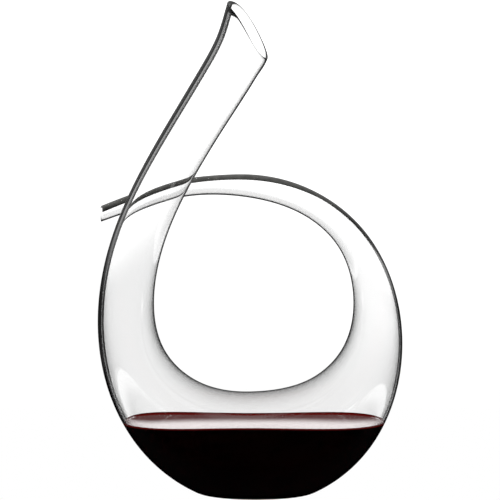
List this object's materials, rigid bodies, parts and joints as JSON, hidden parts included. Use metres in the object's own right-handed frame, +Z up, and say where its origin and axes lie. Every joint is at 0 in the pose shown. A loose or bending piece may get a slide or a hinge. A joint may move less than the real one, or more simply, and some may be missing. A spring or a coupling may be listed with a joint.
{
  "type": "wine decanter",
  "caption": "Figure-six wine decanter: a clear blown-glass tube swelling into a flat-based bowl, with a long slanted neck, a curled arm, a thin open tail, a black inlay stripe and red wine.",
  "frame": {"origin": "middle of the flat base, where the bowl stands on the table", "axes": "+Z up, +X towards the side of the bowl that carries the arm, +Y towards the back, where the tail passes behind the neck"},
  "size_m": [0.2167, 0.1236, 0.3453],
  "materials": {
    "clear_glass": "polished clear crystal glass",
    "black_glass": "polished opaque black glass",
    "red_wine": "still liquid, glossy, near-black red"
  },
  "bodies": {
    "root": {"glass_tail": "clear_glass", "glass_arm": "clear_glass", "glass_bowl_right": "clear_glass", "glass_bowl_base": "clear_glass", "glass_bowl_left": "clear_glass", "glass_shoulder": "clear_glass", "glass_neck": "clear_glass", "black_inlay": "black_glass", "wine": "red_wine"}
  },
  "joints": []
}
